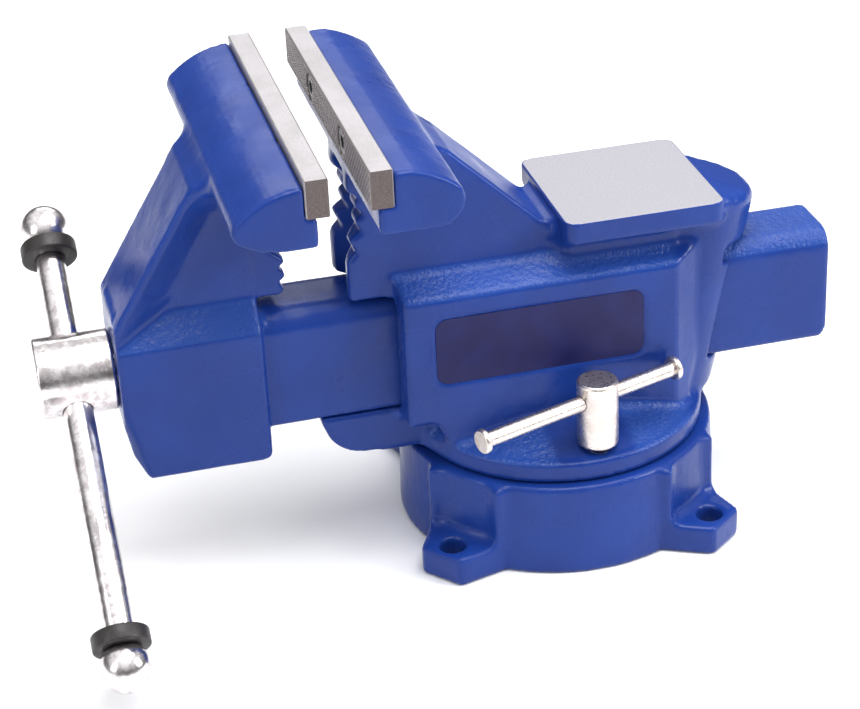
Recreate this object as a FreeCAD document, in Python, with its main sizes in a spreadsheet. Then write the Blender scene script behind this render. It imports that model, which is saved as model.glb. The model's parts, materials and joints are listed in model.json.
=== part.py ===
"""Bench vise with a swivel base, 152.4 mm jaws, drawn 14.5 mm open (FreeCAD 1.1, millimetres).

The swivel axis is the Z axis and the bench is the XY plane.  The jaws open along -Y, the anvil and
the tail of the beam lie towards +Y, and the near lock bolt is on the +X side.
"""
import math
import os

import FreeCAD, Part
import Sketcher

Vector = FreeCAD.Vector
Rotation = FreeCAD.Rotation

os.makedirs("parts", exist_ok=True)
doc = FreeCAD.newDocument("bench_vise")

# ---------------------------------------------------------------- driving dimensions
DIMENSIONS = {
    # jaws
    "jaw_width": 152.4, "jaw_gap": 14.5, "moving_face": -103.4,
    "plate_thick": 9.0, "plate_low": 178.5, "plate_high": 193.4,
    "plate_screw_x": 28.7, "plate_screw_z": 185.6, "plate_screw_head": 5.6, "plate_screw_shank": 3.2,
    "plate_screw_long": 17.0, "plate_screw_sink": 0.6, "plate_screw_key": 5.0, "plate_screw_key_deep": 3.0,
    "plate_screw_rim": 0.8,
    # moving jaw
    "beam_half": 17.6, "beam_low": 62.3, "beam_high": 111.2, "beam_round": 9.3, "beam_tail": 114.3,
    "beam_wall": 5.0, "beam_chamfer": 5.0, "beam_end_wall": 8.0, "beam_roof": 6.0,
    "box_half": 22.0, "box_front": -180.4, "box_rear": -123.2, "box_low": 50.3, "box_high": 107.0,
    "box_crown_half": 12.0, "box_crown": 119.3, "box_front_wall": 15.0, "box_side_wall": 6.0,
    "flange_half": 22.4, "column_half": 12.5, "pipe_jaw_half": 11.4,
    # main screw
    "screw_height": 90.9, "screw_radius": 10.5, "screw_root": 8.6, "screw_tip": 100.0,
    "head_radius": 16.3, "head_front": -211.0, "head_rear": -180.7, "journal_radius": 9.8,
    "screw_bore": 10.2,
    "collar_radius": 12.0, "collar_thick": 9.0, "washer_radius": 12.2, "washer_thick": 2.0,
    "spring_radius": 11.2, "spring_wire": 0.9, "spring_gap": 7.0, "spring_turns": 2.5,
    "collar_pin_radius": 1.9,
    # sliding handle
    "handle_tilt": 54.9, "handle_y": -197.0, "handle_radius": 5.9, "handle_hole": 6.2,
    "handle_short": 66.5, "handle_long": 123.5, "knob_radius": 9.9, "knob_bore": 4.0, "stub_radius": 3.9,
    "ring_radius": 11.2, "ring_thick": 6.6, "ring_inset": 10.6,
    # fixed jaw
    "body_half": 32.0, "body_front": -69.5, "body_low": 59.5, "body_taper": 43.0, "shoulder_low": 115.8,
    "shoulder_high": 121.0, "slide_gap": 0.4, "web_half": 17.6,
    "notch_half": 13.0, "notch_deep": 13.0, "neck_front": -87.3, "neck_low": 112.0,
    "nose_radius": 24.0, "nose_lean": 11.9, "nose_top": 139.8, "nose_y": 60.2, "nose_rear": 85.0,
    "nose_round": 11.0,
    "anvil_half": 33.6, "anvil_front": -3.1, "anvil_back": 63.0, "anvil_high": 139.3, "anvil_thick": 9.6,
    "anvil_round": 5.0,
    "label_front": -57.0, "label_back": 29.0, "label_low": 77.0, "label_high": 106.0, "label_round": 5.0,
    "label_deep": 1.2, "label_thick": 0.8,
    # turntable
    "disc_radius": 61.2, "disc_low": 39.8, "disc_high": 48.5, "disc_round": 1.6, "spigot_radius": 55.4,
    "spigot_low": 33.0, "slope_radius": 58.0, "slope_top_radius": 30.0, "slope_top": 56.6,
    # swivel base
    "base_foot_radius": 66.4, "base_rim_radius": 65.2, "base_high": 39.4, "base_inner": 59.8,
    "base_flange_inner": 55.8, "base_flange_low": 32.4,
    "lug_angle": 39.7, "lug_tip": 83.5, "lug_tip_half": 10.5, "lug_root": 55.0, "lug_root_half": 22.3,
    "lug_pad": 12.7, "lug_high": 38.2, "lug_wall_radius": 33.0, "lug_wall_centre": 96.0,
    "lug_hole_pcd": 150.4, "lug_hole_radius": 5.3,
    # lock bolts
    "lock_x": 51.0, "lock_y": 3.0, "lock_radius": 8.3, "lock_low": 51.0, "lock_high": 79.6,
    "lock_shank": 4.0, "lock_tip": 13.0, "lock_hole": 4.4, "lock_bar_z": 71.4, "lock_bar_turn": 19.5,
    "lock_bar_radius": 3.1, "lock_bar_hole": 3.3, "lock_bar_long": 55.0, "lock_bar_short": 38.6,
    "lock_knob_radius": 5.0, "lock_knob_thick": 2.6,
    "clamp_half": 12.0, "clamp_inner": 36.0, "clamp_outer": 59.0, "clamp_low": 22.0, "clamp_high": 32.1,
    "clamp_bore": 4.2,
    # main nut
    "nut_front": -60.0, "nut_rear": -22.0, "nut_half": 11.5, "nut_high": 102.0, "nut_low": 62.0,
    "nut_bore": 10.9, "nut_bolt_radius": 5.0, "nut_bolt_head": 8.0, "nut_bolt_head_thick": 6.0,
    "nut_bolt_hole": 5.2, "nut_bolt_top": 76.0, "nut_washer_radius": 10.0, "nut_washer_thick": 2.0,
}

dims = doc.addObject("Spreadsheet::Sheet", "dims")
for row, (alias, size) in enumerate(DIMENSIONS.items(), start=1):
    dims.set("A%d" % row, alias)
    dims.set("B%d" % row, str(size))
    dims.setAlias("B%d" % row, alias)
doc.recompute()


def size_of(expression):
    """Value in millimetres of a number or of an expression on the sheet."""
    if isinstance(expression, (int, float)):
        return float(expression)
    return float(dims.evalExpression(expression))


def bind(thing, **expressions):
    """Bind properties of a document object to the sheet; double underscores stand for dots."""
    for name, expression in expressions.items():
        thing.setExpression(name.replace("__", "."), str(expression))
    return thing


def place(thing, x=0, y=0, z=0):
    """Move a document object to a point given as numbers or expressions."""
    thing.Placement = FreeCAD.Placement(Vector(size_of(x), size_of(y), size_of(z)), thing.Placement.Rotation)
    for axis, expression in (("x", x), ("y", y), ("z", z)):
        if isinstance(expression, str):
            thing.setExpression(".Placement.Base." + axis, expression)
    return thing


def turn(thing, axis, degrees):
    """Turn a document object about an axis through its own origin."""
    thing.Placement = FreeCAD.Placement(thing.Placement.Base, Rotation(axis, size_of(degrees)))
    return thing


# ---------------------------------------------------------------- building blocks
def box(name, x, y, z, at):
    """A block with its lowest corner at a point."""
    block = doc.addObject("Part::Box", name)
    bind(block, Length=x, Width=y, Height=z)
    return place(block, *at)


def cylinder(name, radius, height, at=(0, 0, 0)):
    """A cylinder along Z."""
    rod = doc.addObject("Part::Cylinder", name)
    bind(rod, Radius=radius, Height=height)
    return place(rod, *at)


def cylinder_y(name, radius, front, rear, x, z):
    """A cylinder along +Y between two Y values."""
    rod = doc.addObject("Part::Cylinder", name)
    bind(rod, Radius=radius, Height="(%s) - (%s)" % (rear, front))
    turn(rod, Vector(1, 0, 0), -90)
    return place(rod, x, front, z)


def cone(name, low_radius, high_radius, height, at=(0, 0, 0)):
    """A cone along Z."""
    taper = doc.addObject("Part::Cone", name)
    bind(taper, Radius1=low_radius, Radius2=high_radius, Height=height)
    return place(taper, *at)


def fuse(name, *shapes):
    """One solid from several."""
    joined = doc.addObject("Part::MultiFuse", name)
    joined.Shapes = list(shapes)
    joined.Refine = True
    return joined


def common(name, *shapes):
    """What several solids share."""
    shared = doc.addObject("Part::MultiCommon", name)
    shared.Shapes = list(shapes)
    return shared


def cut(name, base, *tools):
    """A solid less one or more others."""
    result = doc.addObject("Part::Cut", name)
    result.Base = base
    result.Tool = tools[0] if len(tools) == 1 else fuse(name + "_tools", *tools)
    result.Refine = True
    return result


def fillet(name, base, radius, chosen):
    """Round the edges of a solid that a test picks."""
    doc.recompute()
    rounded = doc.addObject("Part::Fillet", name)
    rounded.Base = base
    picked = [number for number, edge in enumerate(base.Shape.Edges, start=1) if chosen(edge)]
    rounded.Edges = [(number, size_of(radius), size_of(radius)) for number in picked]
    return rounded


def origin_plane(body, role):
    """One of a body's own origin planes."""
    return next(plane for plane in body.Origin.OriginFeatures if plane.Role == role)


def via(u, v):
    """Middle point of an arc in an outline."""
    return (u, v, "via")


def outline_sketch(body, name, role, outline):
    """Draw a closed outline on an origin plane, each corner bound to the sheet.

    The outline lists corners; a via() entry makes the stretch between its neighbours an arc.
    """
    sketch = body.newObject("Sketcher::SketchObject", name)
    sketch.AttachmentSupport = [(origin_plane(body, role), "")]
    sketch.MapMode = "FlatFace"
    spots = [(size_of(entry[0]), size_of(entry[1])) for entry in outline]
    corners = [index for index, entry in enumerate(outline) if len(entry) == 2]
    starts = {}
    ends = {}
    for here, following in zip(corners, corners[1:] + corners[:1]):
        first, last = Vector(*spots[here]), Vector(*spots[following])
        middle_index = (here + 1) % len(outline)
        if middle_index == following:
            edge = sketch.addGeometry(Part.LineSegment(first, last), False)
            starts[here], ends[following] = (edge, 1), (edge, 2)
            continue
        middle = Vector(*spots[middle_index])
        anticlockwise = (middle - first).cross(last - middle).z > 0
        circle = Part.Arc(first, middle, last).toShape().Curve
        sweep = (first, last) if anticlockwise else (last, first)
        angles = [math.atan2(point.y - circle.Center.y, point.x - circle.Center.x) for point in sweep]
        upright = Part.Circle(circle.Center, Vector(0, 0, 1), circle.Radius)
        edge = sketch.addGeometry(Part.ArcOfCircle(upright, *angles), False)
        starts[here] = (edge, 1 if anticlockwise else 2)
        ends[following] = (edge, 2 if anticlockwise else 1)
        sketch.addConstraint(Sketcher.Constraint("Radius", edge, circle.Radius))
    for corner in corners:
        sketch.addConstraint(Sketcher.Constraint("Coincident", *ends[corner], *starts[corner]))
        for kind, value, entry, axis in (("DistanceX", spots[corner][0], outline[corner][0], -2),
                                         ("DistanceY", spots[corner][1], outline[corner][1], -1)):
            if abs(value) < 1e-6:
                sketch.addConstraint(Sketcher.Constraint("PointOnObject", *starts[corner], axis))
                continue
            number = sketch.addConstraint(Sketcher.Constraint(kind, -1, 1, *starts[corner], value))
            if isinstance(entry, str):
                sketch.setExpression("Constraints[%d]" % number, entry)
    return sketch


def padded(name, role, outline, length, midplane=True):
    """A body padded from an outline on one of its origin planes."""
    body = doc.addObject("PartDesign::Body", name)
    sketch = outline_sketch(body, name + "_sketch", role, outline)
    pad = body.newObject("PartDesign::Pad", name + "_pad")
    pad.Profile = sketch
    pad.Midplane = midplane
    pad.setExpression("Length", str(length))
    body.Tip = pad
    return body


def revolved(name, role, outline):
    """A body turned from a half outline about the sketch's vertical axis."""
    body = doc.addObject("PartDesign::Body", name)
    sketch = outline_sketch(body, name + "_sketch", role, outline)
    spin = body.newObject("PartDesign::Revolution", name + "_spin")
    spin.Profile = sketch
    spin.ReferenceAxis = (sketch, ["V_Axis"])
    spin.Angle = 360
    body.Tip = spin
    return body


def rounded_plate(half_u, v_low, v_high, corner, u_low=None):
    """Outline of a rectangle with rounded corners, as numbers or expressions."""
    left = "-(%s)" % half_u if u_low is None else u_low
    inset = 1 - math.sqrt(0.5)

    def shifted(base, sign, share):
        return "(%s) %s (%s)*%.6f" % (base, sign, corner, share)

    return [(shifted(left, "+", 1), v_low), (shifted(half_u, "-", 1), v_low),
            via(shifted(half_u, "-", inset), shifted(v_low, "+", inset)),
            (half_u, shifted(v_low, "+", 1)), (half_u, shifted(v_high, "-", 1)),
            via(shifted(half_u, "-", inset), shifted(v_high, "-", inset)),
            (shifted(half_u, "-", 1), v_high), (shifted(left, "+", 1), v_high),
            via(shifted(left, "+", inset), shifted(v_high, "-", inset)),
            (left, shifted(v_high, "-", 1)), (left, shifted(v_low, "+", 1)),
            via(shifted(left, "+", inset), shifted(v_low, "+", inset))]


FIXED_FACE = "(dims.moving_face + dims.jaw_gap)"
MOVING_BACK = "(dims.moving_face - dims.plate_thick)"
FIXED_BACK = "(dims.moving_face + dims.jaw_gap + dims.plate_thick)"
nodes = []


def node(name, thing):
    """Label a finished sub-part."""
    thing.Label = name
    nodes.append(thing)
    return thing


# ---------------------------------------------------------------- swivel base
def lug(index):
    """One bolt-down lug: a pad with a hollowed wall behind it."""
    name = "lug_%d" % index
    tip, root = "dims.lug_tip", "dims.lug_root"
    tip_half, root_half = "dims.lug_tip_half", "dims.lug_root_half"
    block = padded(name + "_block", "XY_Plane",
                   [(root, "-" + root_half), (tip + " - 1.5", "-" + tip_half), (tip, "-%s + 1.5" % tip_half),
                    (tip, tip_half + " - 1.5"), (tip + " - 1.5", tip_half), (root, root_half)],
                   "dims.lug_high", midplane=False)
    hollow = cylinder(name + "_hollow", "dims.lug_wall_radius", "dims.base_high",
                      ("dims.lug_wall_centre", 0, "dims.lug_pad"))
    hole = cylinder(name + "_hole", "dims.lug_hole_radius", "dims.base_high",
                    ("dims.lug_hole_pcd/2", 0, -1))
    shaped = cut(name, block, hollow, hole)
    return turn(shaped, Vector(0, 0, 1), size_of("dims.lug_angle") + 90 * index)


def swivel_base():
    """Hollow foot with four lugs, open below, with a flange for the clamp nuts inside its rim."""
    ring = revolved("base_ring", "XZ_Plane",
                    [("dims.base_inner", 0), ("dims.base_foot_radius", 0),
                     ("dims.base_rim_radius", "dims.base_high - 1"),
                     ("dims.base_rim_radius - 1", "dims.base_high"),
                     ("dims.base_flange_inner", "dims.base_high"),
                     ("dims.base_flange_inner", "dims.base_flange_low"),
                     ("dims.base_inner", "dims.base_flange_low")])
    room = cylinder("base_room", "dims.base_inner", "dims.base_flange_low + 1", (0, 0, -1))
    mouth = cylinder("base_mouth", "dims.base_flange_inner", "dims.base_high", (0, 0, 1))
    lugs = [lug(index) for index in range(4)]
    return node("swivel_base", cut("base", fuse("base_raw", ring, *lugs), room, mouth))


# ---------------------------------------------------------------- fixed jaw
def fixed_head():
    """Fixed jaw head, as wide as the plates, with the step that seats the plate."""
    return padded("fixed_head", "YZ_Plane",
                  [(FIXED_FACE + " + 3.3", 167.2), (FIXED_FACE + " + 3.3", "dims.plate_low"),
                   (FIXED_BACK, "dims.plate_low"), (FIXED_BACK, 191.5), (-72.6, 191.5),
                   via(-64.0, 188.4), (-55.6, 183.2), via(-53.3, 177.8), (-55.2, 172.0), (-60.5, 167.2)],
                  "dims.jaw_width")


def fixed_web():
    """Upright web that carries the head, the pipe jaw teeth and the anvil."""
    return padded("fixed_web", "YZ_Plane",
                  [("dims.neck_front", "dims.neck_low"), ("dims.neck_front", 129.5), (-83.4, 133.6),
                   (-86.2, 138.6), (-80.9, 142.6), (-83.8, 146), (-79.8, 149.4), (-83.8, 153.2),
                   (-81.6, 156.2), (-86, 160), (-85.4, 168), (-60, 181), (-44, 169.7), (-6.4, 133.6),
                   ("dims.anvil_front", 131.5), ("dims.anvil_back", 131.5), ("dims.anvil_back", 100),
                   ("dims.neck_front + 16", 100), ("dims.neck_front + 16", "dims.neck_low")],
                  "2*dims.web_half")


def pipe_notch(name, half, front, deep, low, high):
    """Upright V notch between the two rows of pipe jaw teeth."""
    notch = padded(name, "XY_Plane", [("-" + half, front), (half, front), (0, "%s + %s" % (front, deep))],
                   "%s - (%s)" % (high, low), midplane=False)
    return place(notch, 0, 0, low)


def housing():
    """Body around the beam: its plan, side and front outlines, intersected."""
    half, front, waist = "dims.body_half", "dims.body_front", "dims.nose_radius - 0.8"
    plan = padded("housing_plan", "XY_Plane",
                  [("-" + half, front), (half, front), (half, "dims.body_taper"), (waist, 55),
                   (waist, 95), ("-" + waist, 95), ("-" + waist, 55), ("-" + half, "dims.body_taper")],
                  300)
    side = padded("housing_side", "YZ_Plane",
                  [(front, "dims.body_low"), (-58, "dims.body_low"), (-52, 48), (49, 48),
                   (64, "dims.shoulder_high"), (front, "dims.shoulder_high")],
                  300)
    face = padded("housing_face", "XZ_Plane",
                  [("-" + half, 40), (half, 40), (half, "dims.shoulder_low - 1.5"),
                   (half + " - 1.5", "dims.shoulder_low"),
                   ("dims.web_half - 1", "dims.shoulder_high"), ("-dims.web_half + 1", "dims.shoulder_high"),
                   ("-%s + 1.5" % half, "dims.shoulder_low"), ("-" + half, "dims.shoulder_low - 1.5")],
                  300)
    return common("housing", plan, side, face)


def rear_nose():
    """Leaning round collar at the rear, rising to the hump behind the anvil."""
    drum = cylinder("nose_drum", "dims.nose_radius", 140)
    turn(drum, Vector(1, 0, 0), "-dims.nose_lean")
    lean = "tan(dims.nose_lean * 1deg)"
    place(drum, 0, "dims.nose_y - 127*%s" % lean, 0)
    behind = "dims.anvil_back + 1.4"
    side = padded("nose_side", "YZ_Plane",
                  [(45, 48), (95, 48), (95, 124), ("dims.nose_rear", 124), via(82.6, 133.5),
                   (75.5, "dims.nose_top - 1"), (behind, "dims.nose_top"), (behind, 129), (45, 129)],
                  "2*dims.nose_radius + 2")
    round_ = "dims.nose_round"
    half, top = "dims.nose_radius", "dims.nose_top"
    corner = "%s*%.4f" % (round_, 1 - math.sqrt(0.5))
    face = padded("nose_face", "XZ_Plane",
                  [("-" + half, 48), (half, 48), (half, "%s - %s" % (top, round_)),
                   via("%s - %s" % (half, corner), "%s - %s" % (top, corner)),
                   ("%s - %s" % (half, round_), top), ("-%s + %s" % (half, round_), top),
                   via("-%s + %s" % (half, corner), "%s - %s" % (top, corner)),
                   ("-" + half, "%s - %s" % (top, round_))],
                  300)
    return common("nose", drum, side, face)


def anvil():
    """Anvil slab and the swelling that carries it."""
    slab = padded("anvil_slab", "XY_Plane",
                  rounded_plate("dims.anvil_half", "dims.anvil_front", "dims.anvil_back", "dims.anvil_round"),
                  "dims.anvil_thick", midplane=False)
    place(slab, 0, 0, "dims.anvil_high - dims.anvil_thick")
    under = "dims.anvil_high - dims.anvil_thick"
    swelling = padded("anvil_swelling", "XZ_Plane",
                      [("-dims.web_half", 119), ("dims.web_half", 119), ("dims.web_half + 1.5", 124),
                       ("dims.web_half + 8", under), ("-dims.web_half - 8", under),
                       ("-dims.web_half - 1.5", 124)],
                      "dims.anvil_back - dims.anvil_front - 8", midplane=False)
    place(swelling, 0, "dims.anvil_back - 4", 0)
    return [slab, swelling]


def turntable():
    """Turning disc, the spigot that centres it in the base and the slope up to the body."""
    height = "dims.disc_high - dims.disc_low"
    disc = cylinder("disc_raw", "dims.disc_radius", height, (0, 0, "dims.disc_low"))
    top = size_of("dims.disc_high")
    rim = fillet("disc", disc, "dims.disc_round", lambda edge: abs(edge.CenterOfMass.z - top) < 0.01)
    spigot = cylinder("spigot", "dims.spigot_radius", "dims.disc_high - dims.spigot_low",
                      (0, 0, "dims.spigot_low"))
    slope = cone("slope", "dims.slope_radius", "dims.slope_top_radius", "dims.slope_top - dims.disc_high",
                 (0, 0, "dims.disc_high"))
    return [rim, spigot, slope]


def front_shelf():
    """Rounded shelf that carries the beam in front of the body."""
    return padded("front_shelf", "YZ_Plane",
                  [(-102, "dims.beam_low"), (-101.6, 58.5), (-99, 52), via(-94, 46.8), (-86, 43.8),
                   (-74.5, 42.6), (-46, 42.6), (-46, "dims.beam_low")],
                  "2*dims.beam_half")


def label_outline():
    """Outline of the label in the side wall, in the YZ plane."""
    return rounded_plate("dims.label_back", "dims.label_low", "dims.label_high", "dims.label_round",
                         u_low="dims.label_front")


def plate_screw_places():
    """Signs of the two screw places on each jaw plate."""
    return (("left", "-dims.plate_screw_x"), ("right", "dims.plate_screw_x"))


def fixed_jaw_body():
    """The fixed casting with its channel, holes and label recess."""
    gap = "dims.slide_gap"
    channel = box("channel", "2*(dims.beam_half + %s)" % gap, 400,
                  "dims.beam_high - dims.beam_low + 2*%s" % gap,
                  ("-dims.beam_half - %s" % gap, -200, "dims.beam_low - %s" % gap))
    recess = padded("label_recess", "YZ_Plane", label_outline(), "dims.label_deep + 1", midplane=False)
    place(recess, "dims.body_half - dims.label_deep", 0, 0)
    solid = fuse("fixed_raw", fixed_head(), fixed_web(), housing(), rear_nose(), front_shelf(),
                 *anvil(), *turntable())
    notch = pipe_notch("fixed_pipe_notch", "dims.notch_half", "dims.neck_front - 1", "dims.notch_deep",
                       114, 165)
    tools = [channel, recess, notch]
    for side, sign in (("near", 1), ("far", -1)):
        x, y = "%d*dims.lock_x" % sign, "%d*dims.lock_y" % sign
        tools.append(cylinder("lock_hole_" + side, "dims.lock_hole", 60, (x, y, 10)))
        tools.append(cylinder("lock_seat_" + side, "dims.lock_radius + 0.6", 40,
                              (x, y, "dims.lock_low - 0.1")))
    middle = "(dims.nut_front + dims.nut_rear)/2"
    tools.append(cylinder("nut_bolt_way", "dims.nut_bolt_hole", 60, (0, middle, 20)))
    for side, x in plate_screw_places():
        tools.append(cylinder_y("fixed_tapping_" + side, "dims.plate_screw_shank", FIXED_FACE,
                                FIXED_FACE + " + dims.plate_screw_long + 2", x, "dims.plate_screw_z"))
    return node("fixed_jaw_body", cut("fixed_jaw", solid, *tools))


# ---------------------------------------------------------------- moving jaw
def moving_head():
    """Moving jaw head with the step that seats its plate."""
    nose = "dims.moving_face - 4.6"
    return padded("moving_head", "YZ_Plane",
                  [(nose, 166.4), (nose, "dims.plate_low"), (MOVING_BACK, "dims.plate_low"),
                   (MOVING_BACK, 190.7), via(-125.6, 188.1), (-136.2, 181.4), via(-139.4, 176.4),
                   (-136.8, 171.4), (-130, 168), (-120, 166.4)],
                  "dims.jaw_width")


def slanted(body, along):
    """Lean a padded body's sides along a direction, keeping its height."""
    pad = body.Tip
    pad.UseCustomVector = True
    pad.Direction = along
    pad.AlongSketchNormal = True
    return body


def buttress():
    """Sloping front flange that thins into a web, and the column above the beam."""
    half, web_half, rise = "dims.flange_half", "dims.column_half", 104
    foot, top = (size_of("dims.box_front"), 117.3), (-145.8, 172.5)
    lean = (top[0] - foot[0]) / (top[1] - foot[1])
    start = foot[0] - lean * (foot[1] - rise) - 1
    slab = padded("flange_slab", "YZ_Plane",
                  [("dims.box_front", rise), ("dims.box_front", foot[1]), top, (-134, 180), (-126, 170),
                   (-159, foot[1]), (-159, rise)],
                  "2*" + half)
    thinning = padded("flange_thinning", "XY_Plane",
                      [("-" + half, start), (half, start), (half, start + 2.5), (web_half, start + 21),
                       ("-" + web_half, start + 21), ("-" + half, start + 2.5)], 90, midplane=False)
    slanted(thinning, Vector(0, lean, 1))
    place(thinning, 0, 0, rise)
    flange = common("flange", slab, thinning)
    web = padded("column_web", "YZ_Plane",
                 [(-176, 104), (-176, 117), (-140, 174), (-118, 178), ("dims.box_rear", 168),
                  ("dims.box_rear", 104)], "2*dims.column_half")
    rear = padded("column_rear", "YZ_Plane",
                  [(-134, 104), (-134, 170), (-112, 170), ("dims.box_rear", 160), ("dims.box_rear", 104)],
                  "2*dims.column_half")
    teeth = padded("front_pipe_jaw", "YZ_Plane",
                   [(-128, 109.4), (-128, 142), (-120, 139.6), (-109.8, 131.4), (-113.6, 128.4),
                    (-109.8, 125.2), (-113.6, 122.4), (-111.4, 119.4), (-113.4, 117), ("dims.box_rear", 117),
                    ("dims.box_rear", 109.4)],
                   "2*dims.pipe_jaw_half")
    return [flange, web, rear, teeth]


def moving_box():
    """Block that holds the head of the main screw."""
    half, crown = "dims.box_half", "dims.box_crown_half"
    face = padded("box_face", "XZ_Plane",
                  [("-" + half, "dims.box_low"), (half, "dims.box_low"), (half, "dims.box_high"),
                   (crown, "dims.box_crown"), ("-" + crown, "dims.box_crown"), ("-" + half, "dims.box_high")],
                  600)
    side = padded("box_side", "YZ_Plane",
                  [("dims.box_front", "dims.box_crown"), ("dims.box_front", 74), (-178, 60),
                   (-173, "dims.box_low"), ("dims.box_rear - 3.5", "dims.box_low"),
                   via("dims.box_rear - 1", 51.3), ("dims.box_rear", 53.8),
                   ("dims.box_rear", "dims.box_crown")],
                  300)
    return common("moving_box", face, side)


def corner_facets():
    """Slanted cuts that thin the lower front corners of the box."""
    facets = []
    for name, sign in (("near", 1), ("far", -1)):
        facet = box("facet_" + name, 60, 60, 20, (0, 0, 0))
        outward = Vector(sign, -1, -0.24).normalize()
        tilt = Rotation(Vector(0, 0, 1), outward)
        start = Vector(sign * size_of("dims.box_half"), size_of("dims.box_front"), 84)
        facet.Placement = FreeCAD.Placement(start - tilt.multVec(Vector(30, 30, 0)), tilt)
        facets.append(facet)
    return facets


def beam():
    """Sliding beam, a channel open below with a closed tail."""
    half, low, high, round_ = "dims.beam_half", "dims.beam_low", "dims.beam_high", "dims.beam_round"
    inset = 1 - math.sqrt(0.5)
    bar = padded("beam_bar", "XZ_Plane",
                 [("-" + half, low), (half, low), (half, "%s - %s" % (high, round_)),
                  via("%s - %s*%.4f" % (half, round_, inset), "%s - %s*%.4f" % (high, round_, inset)),
                  ("%s - %s" % (half, round_), high), ("-%s + %s" % (half, round_), high),
                  via("-%s + %s*%.4f" % (half, round_, inset), "%s - %s*%.4f" % (high, round_, inset)),
                  ("-" + half, "%s - %s" % (high, round_))],
                 "dims.beam_tail - dims.box_rear + 4", midplane=False)
    return place(bar, 0, "dims.beam_tail", 0)


def moving_jaw_body():
    """The moving casting: head, buttress, box and hollow beam."""
    solid = fuse("moving_raw", moving_head(), *buttress(), moving_box(), beam())
    inner = "dims.beam_half - dims.beam_wall"
    start = "dims.box_front + dims.box_front_wall"
    hollow = box("beam_hollow", "2*(%s)" % inner, "dims.beam_tail - dims.beam_end_wall - (%s)" % start,
                 "dims.beam_high - dims.beam_roof - dims.beam_low + 1",
                 ("-(%s)" % inner, start, "dims.beam_low - 1"))
    wide = "dims.box_half - dims.box_side_wall"
    pocket = box("box_hollow", "2*(%s)" % wide, "dims.box_rear - dims.box_side_wall - (%s)" % start,
                 "dims.box_high - 2 - dims.box_low + 1", ("-(%s)" % wide, start, "dims.box_low - 1"))
    bore = cylinder_y("screw_bore", "dims.screw_bore", "dims.box_front - 5", start + " + 2", 0,
                      "dims.screw_height")
    holes = [cylinder_y("moving_tapping_" + side, "dims.plate_screw_shank",
                        "dims.moving_face - dims.plate_screw_long - 2", "dims.moving_face", x,
                        "dims.plate_screw_z") for side, x in plate_screw_places()]
    notch = pipe_notch("moving_pipe_notch", "dims.notch_half/2", "-109.5", "-dims.notch_deep/2", 119, 146)
    chamfer = padded("tail_chamfer", "YZ_Plane",
                     [("dims.beam_tail - dims.beam_chamfer/2", "dims.beam_low - 1"),
                      ("dims.beam_tail + 1", "dims.beam_low - 1"),
                      ("dims.beam_tail + 1", "dims.beam_low + dims.beam_chamfer + 2")],
                     "2*dims.beam_half + 2")
    tools = [hollow, pocket, bore, notch, chamfer] + corner_facets() + holes
    return node("moving_jaw_body", cut("moving_jaw", solid, *tools))


# ---------------------------------------------------------------- jaw plates and their screws
def screw_at(name, x, face, outward):
    """Flat-head socket screw whose head lies just under the plate's face."""
    head = "dims.plate_screw_head"
    shank = "dims.plate_screw_shank - 0.1"
    body = revolved(name, "XZ_Plane",
                    [(0, 0), (head, 0), (head, "-dims.plate_screw_rim"),
                     (shank, "-%s + %s - dims.plate_screw_rim" % (head, shank)),
                     (shank, "-dims.plate_screw_long"), (0, "-dims.plate_screw_long")])
    key = padded(name + "_key", "XY_Plane",
                 [("dims.plate_screw_key/2/cos(30deg)*%.6f" % math.cos(math.radians(60 * corner)),
                   "dims.plate_screw_key/2/cos(30deg)*%.6f" % math.sin(math.radians(60 * corner)))
                  for corner in range(6)],
                 "dims.plate_screw_key_deep + 1", midplane=False)
    place(key, 0, 0, "-dims.plate_screw_key_deep")
    screw = cut(name + "_socketed", body, key)
    turn(screw, Vector(1, 0, 0), -90 * outward)
    return place(screw, x, "%s - %d*dims.plate_screw_sink" % (face, outward), "dims.plate_screw_z")


def jaw_plate(name, back, face, outward):
    """Hardened jaw plate with two countersunk holes."""
    low = back if outward > 0 else face
    blank = box(name + "_blank", "dims.jaw_width", "dims.plate_thick", "dims.plate_high - dims.plate_low",
                ("-dims.jaw_width/2", low, "dims.plate_low"))
    tools = []
    for side, x in plate_screw_places():
        sink = "dims.plate_screw_sink"
        hole = cylinder_y("%s_hole_%s" % (name, side), "dims.plate_screw_shank + 0.2", low,
                          low + " + dims.plate_thick", x, "dims.plate_screw_z")
        mouth = doc.addObject("Part::Cone", "%s_sink_%s" % (name, side))
        bind(mouth, Radius1="dims.plate_screw_head + dims.plate_screw_rim + 0.35 + %s + 1" % sink,
             Radius2="0.35", Height="dims.plate_screw_head + dims.plate_screw_rim + %s + 1" % sink)
        turn(mouth, Vector(1, 0, 0), 90 * outward)
        place(mouth, x, "%s + %d" % (face, outward), "dims.plate_screw_z")
        counterbore = doc.addObject("Part::Cylinder", "%s_mouth_%s" % (name, side))
        bind(counterbore, Radius="dims.plate_screw_head + 0.35", Height="%s + 0.9" % sink)
        turn(counterbore, Vector(1, 0, 0), 90 * outward)
        place(counterbore, x, face, "dims.plate_screw_z")
        limit = common("%s_mouthpiece_%s" % (name, side), mouth,
                       cylinder_y("%s_limit_%s" % (name, side), "dims.plate_screw_head + 0.35",
                                  low, low + " + dims.plate_thick", x, "dims.plate_screw_z"))
        tools += [hole, counterbore, limit]
    return node(name, cut(name + "_drilled", blank, *tools))


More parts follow.
